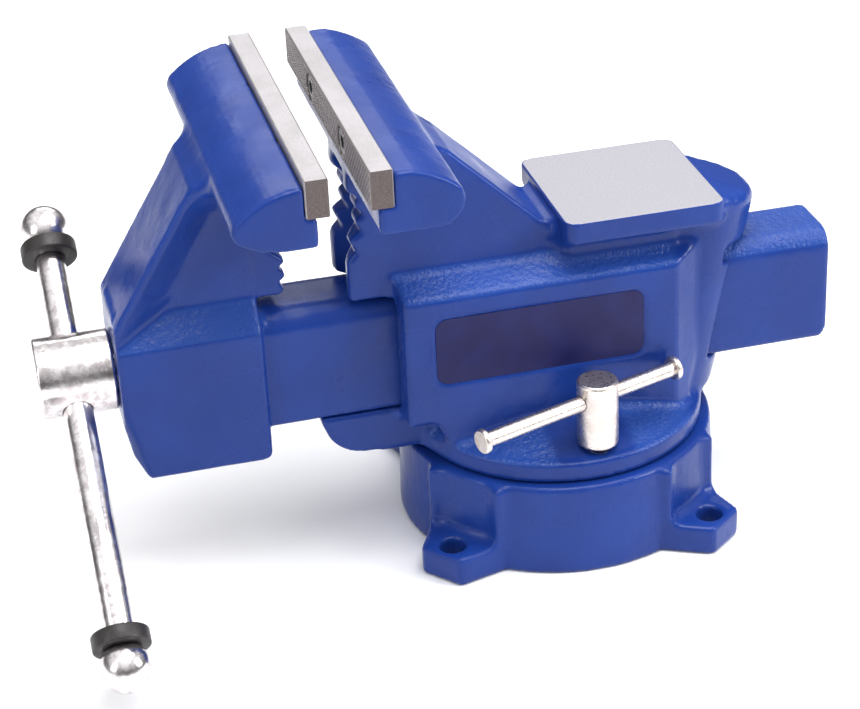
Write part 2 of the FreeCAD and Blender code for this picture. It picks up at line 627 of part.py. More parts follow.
def jaw_plates():
    """Both plates and their screws."""
    jaw_plate("fixed_jaw_plate", FIXED_BACK, FIXED_FACE, -1)
    jaw_plate("moving_jaw_plate", MOVING_BACK, "dims.moving_face", 1)
    for jaw, face, outward in (("fixed", FIXED_FACE, -1), ("moving", "dims.moving_face", 1)):
        screws = [screw_at("%s_screw_%s" % (jaw, side), x, face, outward)
                  for side, x in plate_screw_places()]
        group = doc.addObject("Part::Compound", jaw + "_screw_pair")
        group.Links = screws
        node(jaw + "_plate_screws", group)


# ---------------------------------------------------------------- main screw and what rides on it
def coil(name, radius, wire, length, turns, at):
    """Compression spring along Y as a swept round wire."""
    helix = Part.makeHelix(size_of(length) / turns, size_of(length), size_of(radius))
    start = Vector(size_of(radius), 0, 0)
    ring = Part.Wire(Part.makeCircle(size_of(wire), start, Vector(0, 1, 0)))
    pipe = Part.Wire(helix.Edges).makePipeShell([ring], True, True)
    spring = doc.addObject("Part::Feature", name)
    spring.Shape = pipe
    spring.Placement = FreeCAD.Placement(Vector(*[size_of(value) for value in at]),
                                         Rotation(Vector(1, 0, 0), -90))
    return spring


def main_screw():
    """Screw with its cross-drilled head, journal, threaded length and turned tip."""
    at_z = "dims.screw_height"
    barrel_front = "dims.head_front"
    head = cylinder_y("screw_head", "dims.head_radius", barrel_front, "dims.head_rear", 0, at_z)
    doc.recompute()
    soft = fillet("screw_head_soft", head, 1.2, lambda edge: len(edge.Vertexes) == 1)
    journal = cylinder_y("screw_journal", "dims.journal_radius", "dims.head_rear - 3",
                         "dims.box_front + dims.box_front_wall + 22", 0, at_z)
    thread = cylinder_y("screw_thread", "dims.screw_radius - 0.4",
                        "dims.box_front + dims.box_front_wall + 22", "dims.screw_tip - 6", 0, at_z)
    tip = cylinder_y("screw_end", "dims.screw_root", "dims.screw_tip - 7", "dims.screw_tip", 0, at_z)
    hole = cylinder("screw_cross_hole", "dims.handle_hole", 60)
    lean = size_of("dims.handle_tilt")
    hole.Placement = FreeCAD.Placement(
        Vector(0, size_of("dims.handle_y"), size_of(at_z))
        - Rotation(Vector(0, 1, 0), -lean).multVec(Vector(0, 0, 30)), Rotation(Vector(0, 1, 0), -lean))
    pin_hole = cylinder("collar_pin_hole", "dims.collar_pin_radius", 60,
                        (0, "%s + dims.collar_thick/2" % COLLAR_FRONT, at_z + " - 30"))
    node("main_screw", cut("main_screw_solid", fuse("screw_raw", soft, journal, thread, tip), hole, pin_hole))


WALL_REAR = "dims.box_front + dims.box_front_wall"
COLLAR_FRONT = WALL_REAR + " + dims.washer_thick + dims.spring_gap + 0.3"


def screw_retainers():
    """Washer, spring, collar and pin that hold the screw in the moving jaw."""
    at_z = "dims.screw_height"
    washer = cut("thrust_washer_ring",
                 cylinder_y("washer_disc", "dims.washer_radius", WALL_REAR + " + 0.1",
                            WALL_REAR + " + 0.1 + dims.washer_thick", 0, at_z),
                 cylinder_y("washer_eye", "dims.journal_radius + 0.3", WALL_REAR + " - 1",
                            WALL_REAR + " + 5", 0, at_z))
    node("thrust_washer", washer)
    spring = coil("spring_coil", "dims.spring_radius - dims.spring_wire/2", "dims.spring_wire/2",
                  "dims.spring_gap - dims.spring_wire - 0.6", size_of("dims.spring_turns"),
                  (0, WALL_REAR + " + dims.washer_thick + 0.4 + dims.spring_wire/2", at_z))
    node("takeup_spring", spring)
    collar = cut("collar_ring",
                 cylinder_y("collar_disc", "dims.collar_radius", COLLAR_FRONT,
                            COLLAR_FRONT + " + dims.collar_thick", 0, at_z),
                 cylinder_y("collar_eye", "dims.journal_radius + 0.05", COLLAR_FRONT + " - 1",
                            COLLAR_FRONT + " + dims.collar_thick + 1", 0, at_z),
                 cylinder("collar_cross", "dims.collar_pin_radius", 60,
                          (0, "%s + dims.collar_thick/2" % COLLAR_FRONT, at_z + " - 30")))
    node("retaining_collar", collar)
    pin = cylinder("collar_pin_rod", "dims.collar_pin_radius - 0.05", "2*dims.collar_radius - 0.6",
                   (0, "%s + dims.collar_thick/2" % COLLAR_FRONT, at_z + " - dims.collar_radius + 0.3"))
    node("collar_pin", pin)


# ---------------------------------------------------------------- sliding handle
def on_handle(thing, distance):
    """Place a part drawn along +Z on the handle, at a distance towards its long end."""
    lean = Rotation(Vector(0, 1, 0), 180 - size_of("dims.handle_tilt"))
    start = Vector(0, size_of("dims.handle_y"), size_of("dims.screw_height"))
    thing.Placement = FreeCAD.Placement(start + lean.multVec(Vector(0, 0, size_of(distance))), lean)
    return thing


def handle():
    """Rod with stepped ends, a ball and a rubber ring at each end."""
    inset = "dims.ring_inset"
    short, long_ = "dims.handle_short", "dims.handle_long"
    shoulder = "dims.knob_radius - 2.7"
    rod = fuse("handle_raw",
               cylinder("handle_bar", "dims.handle_radius", "%s + %s - 2*(%s)" % (short, long_, shoulder),
                        (0, 0, "-%s + (%s)" % (short, shoulder))),
               cylinder("handle_stubs", "dims.stub_radius", "%s + %s" % (short, long_),
                        (0, 0, "-" + short)))
    node("handle_rod", on_handle(rod, 0))
    for end, distance, flip in (("upper", "-" + short, 1), ("lower", long_, -1)):
        ball = doc.addObject("Part::Sphere", "ball_" + end)
        bind(ball, Radius="dims.knob_radius")
        bore = cylinder("ball_bore_" + end, "dims.knob_bore", 20, (0, 0, 0 if flip > 0 else -20))
        face = cylinder("ball_face_" + end, "dims.knob_radius + 1", 4,
                        (0, 0, "%s - 0.05" % shoulder if flip > 0 else "-(%s) + 0.05 - 4" % shoulder))
        node("handle_ball_" + end, on_handle(cut("ball_bored_" + end, ball, bore, face), distance))
        eye = cylinder("ring_eye_" + end, "dims.handle_radius + 0.05", 40, (0, 0, -20))
        band = cylinder("ring_band_" + end, "dims.ring_radius", "dims.ring_thick",
                        (0, 0, "-dims.ring_thick/2"))
        doc.recompute()
        soft = fillet("ring_soft_" + end, band, 0.8, lambda edge: len(edge.Vertexes) == 1)
        where = "-%s + %s" % (short, inset) if flip > 0 else "%s - %s" % (long_, inset)
        node("handle_ring_" + end, on_handle(cut("ring_" + end, soft, eye), where))


# ---------------------------------------------------------------- main nut
def main_nut():
    """Bronze nut block in the channel, and the bolt that holds it from below."""
    middle = "(dims.nut_front + dims.nut_rear)/2"
    block = box("nut_block", "2*dims.nut_half", "dims.nut_rear - dims.nut_front",
                "dims.nut_high - dims.nut_low", ("-dims.nut_half", "dims.nut_front", "dims.nut_low"))
    bore = cylinder_y("nut_bore", "dims.nut_bore", "dims.nut_front - 1", "dims.nut_rear + 1", 0,
                      "dims.screw_height")
    tapped = cylinder("nut_tapping", "dims.nut_bolt_radius", "dims.nut_bolt_top - dims.nut_low + 2",
                      (0, middle, "dims.nut_low - 1"))
    node("main_nut", cut("nut_solid", block, bore, tapped))
    under = "dims.spigot_low - dims.nut_washer_thick"
    shank = cylinder("nut_bolt_shank", "dims.nut_bolt_radius - 0.1",
                     "dims.nut_bolt_top - dims.spigot_low + 8", (0, middle, "dims.spigot_low - 8"))
    flats = [("dims.nut_bolt_head/cos(30deg)*%.6f" % math.cos(math.radians(60 * corner)),
              "dims.nut_bolt_head/cos(30deg)*%.6f" % math.sin(math.radians(60 * corner)))
             for corner in range(6)]
    hexagon = padded("nut_bolt_hexagon", "XY_Plane", flats, "dims.nut_bolt_head_thick", midplane=False)
    place(hexagon, 0, middle, "%s - dims.nut_bolt_head_thick" % under)
    node("nut_bolt", fuse("nut_bolt_solid", shank, hexagon))
    washer = cut("nut_washer_ring",
                 cylinder("nut_washer_disc", "dims.nut_washer_radius", "dims.nut_washer_thick - 0.05",
                          (0, middle, under + " + 0.02")),
                 cylinder("nut_washer_eye", "dims.nut_bolt_hole", 10, (0, middle, under + " - 2")))
    node("nut_bolt_washer", washer)


# ---------------------------------------------------------------- swivel lock
def lock_set(side, turned):
    """Lock bolt, its sliding bar and the clamp nut under the base flange, for one side."""
    swing = Rotation(Vector(0, 0, 1), turned)
    at = swing.multVec(Vector(size_of("dims.lock_x"), size_of("dims.lock_y"), 0))
    height = "dims.lock_high - dims.lock_low"
    head = cylinder("lock_head_" + side, "dims.lock_radius", height, (0, 0, "dims.lock_low"))
    doc.recompute()
    soft = fillet("lock_soft_" + side, head, 1.3, lambda edge: len(edge.Vertexes) == 1)
    shank = cylinder("lock_shank_" + side, "dims.lock_shank", "dims.lock_low + 3 - dims.lock_tip",
                     (0, 0, "dims.lock_tip"))
    along = Rotation(Vector(0, 0, 1), size_of("dims.lock_bar_turn"))
    cross = cylinder("lock_cross_" + side, "dims.lock_bar_hole", 40)
    lay = Rotation(Vector(1, 0, 0), 90)
    bar_height = size_of("dims.lock_bar_z")
    cross.Placement = FreeCAD.Placement(Vector(0, 0, bar_height) + along.multVec(Vector(0, 20, 0)),
                                        along.multiply(lay))
    bolt = cut("lock_bolt_solid_" + side, fuse("lock_raw_" + side, soft, shank), cross)
    bolt.Placement = FreeCAD.Placement(at, swing)
    node("lock_bolt_" + side, bolt)

    short, long_, thick = "dims.lock_bar_short", "dims.lock_bar_long", "dims.lock_knob_thick"
    knob_from = {"short": "-(%s) - %s/2" % (short, thick), "long": "%s - %s/2" % (long_, thick)}
    knobs = []
    for end, low in knob_from.items():
        disc = cylinder("lock_knob_%s_%s" % (end, side), "dims.lock_knob_radius", thick, (0, 0, low))
        doc.recompute()
        knobs.append(fillet("lock_knob_soft_%s_%s" % (end, side), disc, 0.9,
                            lambda edge: len(edge.Vertexes) == 1))
    rod = cylinder("lock_rod_" + side, "dims.lock_bar_radius", "%s + %s" % (short, long_),
                   (0, 0, "-(%s)" % short))
    bar = fuse("lock_bar_solid_" + side, rod, *knobs)
    bar.Placement = FreeCAD.Placement(at + Vector(0, 0, bar_height), swing.multiply(along.multiply(lay)))
    node("lock_bar_" + side, bar)

    slab = box("clamp_slab_" + side, "dims.clamp_outer - dims.clamp_inner", "2*dims.clamp_half",
               "dims.clamp_high - dims.clamp_low", ("dims.clamp_inner", "dims.lock_y - dims.clamp_half",
                                                    "dims.clamp_low"))
    round_end = cylinder("clamp_round_" + side, "dims.clamp_outer", 60)
    thread = cylinder("clamp_bore_" + side, "dims.clamp_bore", 60, ("dims.lock_x", "dims.lock_y", 0))
    dog = cut("clamp_solid_" + side, common("clamp_raw_" + side, slab, round_end), thread)
    dog.Placement = FreeCAD.Placement(Vector(0, 0, 0), swing)
    node("clamp_nut_" + side, dog)


# ---------------------------------------------------------------- label
def label_plate():
    """Thin blank label that lies in the recess of the near wall."""
    label = padded("label_sheet", "YZ_Plane",
                   rounded_plate("dims.label_back - 0.15", "dims.label_low + 0.15", "dims.label_high - 0.15",
                                 "dims.label_round - 0.15", u_low="dims.label_front + 0.15"),
                   "dims.label_thick", midplane=False)
    place(label, "dims.body_half - dims.label_deep", 0, 0)
    node("label_plate", label)


swivel_base()
fixed_jaw_body()
moving_jaw_body()
jaw_plates()
main_screw()
screw_retainers()
handle()
main_nut()
lock_set("near", 0)
lock_set("far", 180)
label_plate()
doc.recompute()

for thing in doc.Objects:
    if "Invalid" in thing.State or "Error" in thing.State:
        raise RuntimeError("%s did not recompute: %s" % (thing.Name, thing.State))
for thing in nodes:
    shape = thing.Shape
    if shape.isNull() or not shape.isValid() or not shape.Solids:
        raise RuntimeError("%s has no valid solid" % thing.Label)
    shape.exportStep("parts/%s.step" % thing.Label)
    print("%-22s solids %d  volume %9.0f mm3" % (thing.Label, len(shape.Solids), shape.Volume))
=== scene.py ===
"""Looks of the bench vise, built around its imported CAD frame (Blender 4.5, metres)."""
import json
import math

import bpy
import numpy as np
import openvdb as vdb
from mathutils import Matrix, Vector


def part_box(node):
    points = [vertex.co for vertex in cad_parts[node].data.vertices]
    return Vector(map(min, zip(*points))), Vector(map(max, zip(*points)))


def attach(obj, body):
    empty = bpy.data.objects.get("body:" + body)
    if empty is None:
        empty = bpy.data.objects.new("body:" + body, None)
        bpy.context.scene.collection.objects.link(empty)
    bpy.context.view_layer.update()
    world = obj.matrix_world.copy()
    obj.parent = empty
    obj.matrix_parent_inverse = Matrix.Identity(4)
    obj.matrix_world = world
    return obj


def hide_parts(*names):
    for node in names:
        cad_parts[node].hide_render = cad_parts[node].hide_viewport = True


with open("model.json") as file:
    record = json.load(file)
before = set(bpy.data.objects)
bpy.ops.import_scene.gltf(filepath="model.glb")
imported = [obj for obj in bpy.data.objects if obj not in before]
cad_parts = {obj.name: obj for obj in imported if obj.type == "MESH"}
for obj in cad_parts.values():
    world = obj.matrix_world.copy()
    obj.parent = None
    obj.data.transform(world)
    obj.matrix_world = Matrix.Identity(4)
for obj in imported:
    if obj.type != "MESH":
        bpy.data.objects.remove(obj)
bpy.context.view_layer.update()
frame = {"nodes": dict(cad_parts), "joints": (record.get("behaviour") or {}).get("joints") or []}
NODES = frame["nodes"]
JOINTS = {joint["name"]: joint for joint in frame["joints"]}
MM = 0.001
SEED = 7
VOXEL = 0.8
EDGE = 0.9
SEGMENTS = 96
PAINT_BLUE = (0.009, 0.038, 0.228)
PAINT_DEEP = (0.008, 0.031, 0.190)


def corners(node):
    """Lowest and highest corner of a CAD node, in millimetres."""
    low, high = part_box(node)
    return np.array(low) / MM, np.array(high) / MM


# ---------------------------------------------------------------- meshes
def new_object(name, points, faces, smooth=True):
    """A mesh object from points in millimetres."""
    mesh = bpy.data.meshes.new(name)
    mesh.from_pydata((np.asarray(points, float) * MM).tolist(), [], [list(face) for face in faces])
    mesh.update()
    mesh.validate()
    if smooth:
        mesh.shade_smooth()
    thing = bpy.data.objects.new(name, mesh)
    bpy.context.scene.collection.objects.link(thing)
    return thing


def grid_object(name, points, quads, triangles=()):
    """A smooth mesh object from numpy arrays, in millimetres."""
    mesh = bpy.data.meshes.new(name)
    quads = np.asarray(quads, np.int32).reshape(-1, 4)
    triangles = np.asarray(triangles, np.int32).reshape(-1, 3)
    loops = np.concatenate([quads.ravel(), triangles.ravel()])
    sizes = np.concatenate([np.full(len(quads), 4), np.full(len(triangles), 3)])
    mesh.vertices.add(len(points))
    mesh.vertices.foreach_set("co", (np.asarray(points, np.float32) * MM).ravel())
    mesh.loops.add(len(loops))
    mesh.loops.foreach_set("vertex_index", loops.astype(np.int32))
    mesh.polygons.add(len(sizes))
    mesh.polygons.foreach_set("loop_start", (np.cumsum(sizes) - sizes).astype(np.int32))
    mesh.update(calc_edges=True)
    mesh.validate()
    mesh.shade_smooth()
    thing = bpy.data.objects.new(name, mesh)
    bpy.context.scene.collection.objects.link(thing)
    return thing


def finish_piece(thing, body, slot, material, *replaced):
    """Give a piece its body and material, and hide the CAD nodes it stands for."""
    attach(thing, body)
    if replaced:
        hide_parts(*replaced)
    thing.data.materials.clear()
    thing.data.materials.append(material)
    return thing


# ---------------------------------------------------------------- distance fields of the castings
def level_set(points, triangles, quads, step, reach):
    """Distance grid of a closed surface, true within a reach on both sides."""
    return vdb.FloatGrid.createLevelSetFromPolygons(
        np.ascontiguousarray(points, np.float32), triangles=np.ascontiguousarray(triangles, np.uint32),
        quads=np.ascontiguousarray(quads, np.uint32),
        transform=vdb.createLinearTransform(voxelSize=step), halfWidth=reach / step)


def moved(grid, by, step, reach):
    """Distance grid of the surface that lies a distance outside a grid's own surface."""
    points, triangles, quads = grid.convertToPolygons(isovalue=by)
    return level_set(points, triangles, quads, step, reach)


class Casting:
    """A CAD node as a distance field on a regular grid, in millimetres."""

    def __init__(self, node, step, reach=4.0):
        self.node, self.step, self.reach = node, step, reach
        mesh = NODES[node].data
        mesh.calc_loop_triangles()
        points = np.empty(len(mesh.vertices) * 3, np.float32)
        mesh.vertices.foreach_get("co", points)
        triangles = np.empty(len(mesh.loop_triangles) * 3, np.int32)
        mesh.loop_triangles.foreach_get("vertices", triangles)
        self.surface = (points.reshape(-1, 3) / MM, triangles.reshape(-1, 3))
        self.low, self.high = self.surface[0].min(0), self.surface[0].max(0)
        margin = 4
        self.first = np.floor(self.low / step).astype(int) - margin
        last = np.ceil(self.high / step).astype(int) + margin
        self.shape = tuple(last - self.first + 1)
        self.x, self.y, self.z = np.meshgrid(
            *[(self.first[axis] + np.arange(self.shape[axis])) * step for axis in range(3)],
            indexing="ij", sparse=True)
        self.sharp = self.dense(self.start(reach))
        self.field = self.sharp.copy()

    def start(self, reach):
        """Level set of the CAD surface."""
        points, triangles = self.surface
        return level_set(points, triangles, np.zeros((0, 4)), self.step, reach)

    def dense(self, grid):
        """A grid's distances as an array."""
        values = np.full(self.shape, self.reach, np.float32)
        grid.copyToArray(values, ijk=tuple(int(number) for number in self.first))
        return np.clip(values, -self.reach, self.reach)

    def filled(self, radius):
        """The solid with every inside corner filled to a radius."""
        spare = 3 * self.step
        outer = moved(self.start(radius + spare), radius, self.step, radius + spare)
        return self.dense(moved(outer, -radius, self.step, self.reach))

    def inside(self, low, high, soft=2.0):
        """1 inside a block, fading to 0 over a soft distance outside it."""
        away = np.zeros(self.shape, np.float32)
        for axis, (start, end) in zip((self.x, self.y, self.z), zip(low, high)):
            away = np.maximum(away, np.maximum(start - axis, axis - end))
        return np.clip(1 - away / soft, 0, 1)

    def fill_corners(self, radius, low=None, high=None, soft=3.0):
        """Fill inside corners to a radius, within a block if one is given."""
        gain = self.field - self.filled(radius)
        gain = gain * np.clip((gain - 0.04) / 0.12, 0, 1)
        if low is not None:
            gain = gain * self.inside(low, high, soft)
        self.field = self.field - gain

    def keep_sharp(self, low, high):
        """Put the CAD shape back within a block."""
        share = self.inside(low, high, self.step)
        self.field = self.field + share * (self.sharp - self.field)

    def round_edges(self, radius, low=None, high=None, soft=3.0):
        """Round outside edges to a radius, within a block if one is given."""
        spare = 3 * self.step
        whole = vdb.FloatGrid(self.reach)
        whole.transform = vdb.createLinearTransform(voxelSize=self.step)
        whole.copyFromArray(self.field, ijk=tuple(int(number) for number in self.first))
        inner = moved(whole, -radius, self.step, radius + spare)
        loss = self.dense(moved(inner, radius, self.step, self.reach)) - self.field
        loss = loss * np.clip((loss - 0.02) / 0.06, 0, 1)
        if low is not None:
            loss = loss * self.inside(low, high, soft)
        self.field = self.field + loss

    def mesh(self):
        """Points, triangles and quads of the field's surface."""
        whole = vdb.FloatGrid(self.reach)
        whole.transform = vdb.createLinearTransform(voxelSize=self.step)
        whole.copyFromArray(self.field, ijk=tuple(int(number) for number in self.first))
        return whole.convertToPolygons(isovalue=0.0)


def lattice_noise(points, size, salt):
    """Smooth noise between -1 and 1 at points in millimetres, with features of a size."""
    cells = np.random.default_rng(SEED + salt).uniform(-1, 1, (64, 64, 64))
    place = points / size + 1000.0
    whole = np.floor(place).astype(int)
    part = place - whole
    part = part * part * (3 - 2 * part)
    total = np.zeros(len(points))
    for corner in range(8):
        step = np.array([(corner >> axis) & 1 for axis in range(3)])
        weight = np.prod(np.where(step, part, 1 - part), axis=1)
        index = (whole + step) % 64
        total += weight * cells[index[:, 0], index[:, 1], index[:, 2]]
    return total


def casting_object(name, casting, machined):
    """Mesh of a casting, with the slight waves of a sand mould on its rough faces.

    machined gives 1 for points on flat machined faces and 0 elsewhere.
    """
    points, triangles, quads = casting.mesh()
    if flipped(points, quads):
        quads, triangles = quads[:, ::-1], triangles[:, ::-1]
    thing = grid_object(name, points, quads, triangles)
    count = len(thing.data.vertices)
    place = np.empty(count * 3, np.float32)
    thing.data.vertices.foreach_get("co", place)
    place = place.reshape(-1, 3) / MM
    normals = np.empty(count * 3, np.float32)
    thing.data.vertices.foreach_get("normal", normals)
    normals = normals.reshape(-1, 3)
    broad, fine = lattice_noise(place, 9.0, 1), lattice_noise(place, 3.5, 2)
    waves = 0.10 * broad + 0.05 * fine
    place = place + normals * (waves * (1 - machined(place)))[:, None]
    place = np.clip(place, casting.low, casting.high)
    thing.data.vertices.foreach_set("co", (place * MM).astype(np.float32).ravel())
    thing.data.update()
    return thing


def flipped(points, quads):
    """Whether faces from the distance grid point inwards."""
    corner = points[quads]
    normal = np.cross(corner[:, 2] - corner[:, 0], corner[:, 3] - corner[:, 1])
    volume = np.einsum("ij,ij->i", corner.mean(1), normal).sum()
    return volume < 0


# ---------------------------------------------------------------- materials
class Look:
    """A procedural material and short ways to add nodes to it."""

    def __init__(self, name, color, roughness, metallic=0.0, **sockets):
        self.material = bpy.data.materials.new(name)
        self.material.use_nodes = True
        self.tree = self.material.node_tree
        self.shader = self.tree.nodes["Principled BSDF"]
        self.set("Base Color", (*color, 1))
        self.set("Roughness", roughness)
        self.set("Metallic", metallic)
        for socket, value in sockets.items():
            self.set(socket.replace("_", " "), value)
        self.position = self.node("ShaderNodeTexCoord").outputs["Object"]

    def set(self, socket, value):
        self.shader.inputs[socket].default_value = value

    def node(self, kind, **settings):
        made = self.tree.nodes.new(kind)
        for key, value in settings.items():
            setattr(made, key, value)
        return made

    def link(self, source, target):
        self.tree.links.new(source, target)

    def feed(self, socket, value):
        """Link a node output to a socket, or set the socket to a plain value."""
        if hasattr(value, "links"):
            self.link(value, socket)
        else:
            socket.default_value = value

    def math(self, operation, first, second=0.0, third=None):
        made = self.node("ShaderNodeMath", operation=operation)
        self.feed(made.inputs[0], first)
        self.feed(made.inputs[1], second)
        if third is not None:
            self.feed(made.inputs[2], third)
        return made.outputs[0]

    def noise(self, scale, detail=2.0, rough=0.5, stretch=None, distortion=0.0):
        """Noise in object space; scale is features per metre."""
        texture = self.node("ShaderNodeTexNoise")
        texture.inputs["Scale"].default_value = scale
        texture.inputs["Detail"].default_value = detail
        texture.inputs["Roughness"].default_value = rough
        texture.inputs["Distortion"].default_value = distortion
        source = self.position
        if stretch is not None:
            mapping = self.node("ShaderNodeMapping")
            mapping.inputs["Scale"].default_value = stretch
            self.link(self.position, mapping.inputs["Vector"])
            source = mapping.outputs[0]
        self.link(source, texture.inputs["Vector"])
        return texture.outputs["Fac"]

    def ramp(self, value, stops):
        """Colour ramp; stops are (place, colour)."""
        made = self.node("ShaderNodeValToRGB")
        elements = made.color_ramp.elements
        while len(elements) < len(stops):
            elements.new(0.5)
        for element, (place, color) in zip(elements, stops):
            element.position = place
            element.color = (*color, 1) if len(color) == 3 else color
        self.feed(made.inputs["Fac"], value)
        return made.outputs["Color"]

    def span(self, value, low, high, start=0.0, end=1.0):
        """Smooth map from one range to another, level beyond it."""
        made = self.node("ShaderNodeMapRange", interpolation_type="SMOOTHSTEP")
        self.feed(made.inputs["Value"], value)
        for socket, number in zip(("From Min", "From Max", "To Min", "To Max"), (low, high, start, end)):
            made.inputs[socket].default_value = number
        return made.outputs["Result"]

    def mix(self, share, first, second):
        """Blend of two colours, each a plain one or a node output."""
        made = self.node("ShaderNodeMix", data_type="RGBA")
        self.feed(made.inputs["Factor"], share)
        colors = [socket for socket in made.inputs if socket.type == "RGBA"]
        for socket, value in zip(colors, (first, second)):
            self.feed(socket, value if hasattr(value, "links") else (*value, 1))
        return [socket for socket in made.outputs if socket.type == "RGBA"][0]

    def bump(self, layers):
        """Chain bump layers; each is (height, strength, distance in metres)."""
        normal = None
        for height, strength, distance in layers:
            made = self.node("ShaderNodeBump")
            self.feed(made.inputs["Strength"], strength)
            made.inputs["Distance"].default_value = distance
            self.link(height, made.inputs["Height"])
            if normal is not None:
                self.link(normal, made.inputs["Normal"])
            normal = made.outputs["Normal"]
        self.link(normal, self.shader.inputs["Normal"])

    def axes(self):
        """X, Y and Z of the object-space position."""
        made = self.node("ShaderNodeSeparateXYZ")
        self.link(self.position, made.inputs[0])
        return made.outputs

    def normal_axes(self):
        """X, Y and Z of the surface normal in object space."""
        made = self.node("ShaderNodeSeparateXYZ")
        self.link(self.node("ShaderNodeTexCoord").outputs["Normal"], made.inputs[0])
        return made.outputs

    def within(self, value, low, high, soft):
        """1 where a value lies between two limits, with soft edges."""
        rise = self.span(value, low - soft, low)
        fall = self.span(value, high, high + soft, 1.0, 0.0)
        return self.math("MULTIPLY", rise, fall)


def enamel(name, bare=None, rough=()):
    """Blue gloss enamel over sand-cast iron.

    bare is a block in metres whose upward faces are machined and unpainted.  rough lists blocks in
    metres whose upward or sloping faces show the coarse skin of the mould as bump, and are painted a
    lighter blue there as a painted highlight.
    """
    look = Look(name, PAINT_BLUE, 0.3, Coat_Weight=0.04, Coat_Roughness=0.14, Specular_IOR_Level=0.22)
    tone = look.noise(28.0, 3.0)
    color = look.mix(look.span(tone, 0.35, 0.68), PAINT_DEEP, PAINT_BLUE)
    grain = look.noise(620.0, 3.0, 0.55)
    pebble = look.noise(480.0, 2.0, 0.6)
    x, y, z = look.axes()
    up = look.normal_axes()[2]
    pebble_and_highlight_patch = None
    for low, high in rough:
        area = look.math("MULTIPLY", look.within(x, low[0], high[0], 0.002),
                         look.math("MULTIPLY", look.within(y, low[1], high[1], 0.005),
                                   look.within(z, low[2], high[2], 0.002)))
        pebble_and_highlight_patch = area if pebble_and_highlight_patch is None else look.math("MAXIMUM", pebble_and_highlight_patch, area)
    layers = [(look.noise(110.0, 2.0), 0.25, 0.0006), (grain, 0.18, 0.0003)]
    if pebble_and_highlight_patch is not None:
        facing = look.span(up, 0.25, 0.5)
        pebble_and_highlight_patch = look.math("MULTIPLY", pebble_and_highlight_patch, facing)
        layers.append((pebble, look.math("MULTIPLY", pebble_and_highlight_patch, 0.9), 0.0008))
        # painted highlight: upward faces of the rough patches get a lighter blue, standing in for light
        # falling from above
        color = look.mix(look.math("MULTIPLY", pebble_and_highlight_patch, 0.45), color, (0.030, 0.085, 0.34))
    look.link(color, look.shader.inputs["Base Color"])
    look.link(look.span(look.noise(45.0, 2.0), 0.3, 0.7, 0.24, 0.36), look.shader.inputs["Roughness"])
    look.bump(layers)
    if bare is not None:
        low, high = bare
        soft = 0.0004
        flat = look.math("MULTIPLY", look.span(up, 0.93, 0.97), look.within(x, low[0], high[0], soft))
        flat = look.math("MULTIPLY", flat, look.within(y, low[1], high[1], soft))
        flat = look.math("MULTIPLY", flat, look.within(z, low[2], high[2], soft))
        source = look.node("ShaderNodeBsdfPrincipled")
        source.inputs["Metallic"].default_value = 0.45
        source.inputs["Roughness"].default_value = 0.55
        speck = look.noise(1500.0, 2.0, 0.7)
        shade = look.ramp(speck, [(0.3, (0.30, 0.295, 0.33)), (0.7, (0.41, 0.405, 0.44))])
        look.link(shade, source.inputs["Base Color"])
        bump = look.node("ShaderNodeBump")
        bump.inputs["Strength"].default_value = 0.15
        bump.inputs["Distance"].default_value = 0.0002
        look.link(speck, bump.inputs["Height"])
        look.link(bump.outputs["Normal"], source.inputs["Normal"])
        blend = look.node("ShaderNodeMixShader")
        look.link(flat, blend.inputs["Fac"])
        look.link(look.shader.outputs[0], blend.inputs[1])
        look.link(source.outputs[0], blend.inputs[2])
        look.link(blend.outputs[0], look.tree.nodes["Material Output"].inputs["Surface"])
    return look.material


def ground_steel(name, gripping_y, outward):
    """Hardened steel with fine grinding marks and a darker brownish gripping face, with painted shade in
    the serration grooves that deepens with their depth.

    gripping_y is where that face lies along Y, in metres, and outward is 1 or -1, the way it faces.
    """
    look = Look(name, (0.60, 0.55, 0.53), 0.40, 0.65)
    lines = look.noise(1100.0, 2.0, 0.6, stretch=(0.3, 1.0, 1.0))
    blotch = look.noise(60.0, 3.0, 0.6)
    fine = look.noise(1500.0, 3.0, 0.7)
    bright = look.mix(look.span(blotch, 0.35, 0.7), (0.50, 0.48, 0.50), (0.43, 0.41, 0.42))
    brown = look.mix(look.span(fine, 0.35, 0.7), (0.13, 0.105, 0.105), (0.09, 0.07, 0.07))
    side = look.span(look.math("ABSOLUTE", look.normal_axes()[0]), 0.6, 0.9)
    ground = look.mix(look.span(fine, 0.3, 0.7, 0.0, 0.35), bright, (0.36, 0.34, 0.345))
    color = look.mix(side, ground, brown)
    deep = look.math("MULTIPLY", look.math("SUBTRACT", gripping_y, look.axes()[1]), outward)
    groove = look.span(deep, 0.0001, 0.0006)
    gripping = look.span(deep, 0.0, 0.0011, 1.0, 0.0)
    color = look.mix(look.math("MULTIPLY", gripping, 0.55), color, (0.34, 0.29, 0.28))
    # painted shade: the serration grooves are darkened by their depth below the gripping face
    color = look.mix(look.math("MULTIPLY", groove, gripping), color, (0.05, 0.042, 0.042))
    look.link(color, look.shader.inputs["Base Color"])
    look.link(look.span(lines, 0.3, 0.7, 0.34, 0.48), look.shader.inputs["Roughness"])
    look.bump([(lines, 0.12, 0.0002), (look.noise(1400.0, 2.0), 0.12, 0.0002)])
    return look.material


def plated_steel():
    """Bright plated steel with the faint pits and streaks of its forging."""
    look = Look("bright_plated_steel", (0.74, 0.71, 0.72), 0.16, 1.0)
    mottle = look.noise(260.0, 4.0, 0.65)
    streak = look.noise(40.0, 3.0, 0.6)
    color = look.mix(look.span(mottle, 0.4, 0.62), (0.92, 0.88, 0.89), (0.62, 0.57, 0.58))
    look.link(color, look.shader.inputs["Base Color"])
    look.link(look.span(streak, 0.3, 0.7, 0.14, 0.30), look.shader.inputs["Roughness"])
    look.bump([(mottle, 0.22, 0.0004), (look.noise(90.0, 2.0), 0.2, 0.0007)])
    return look.material


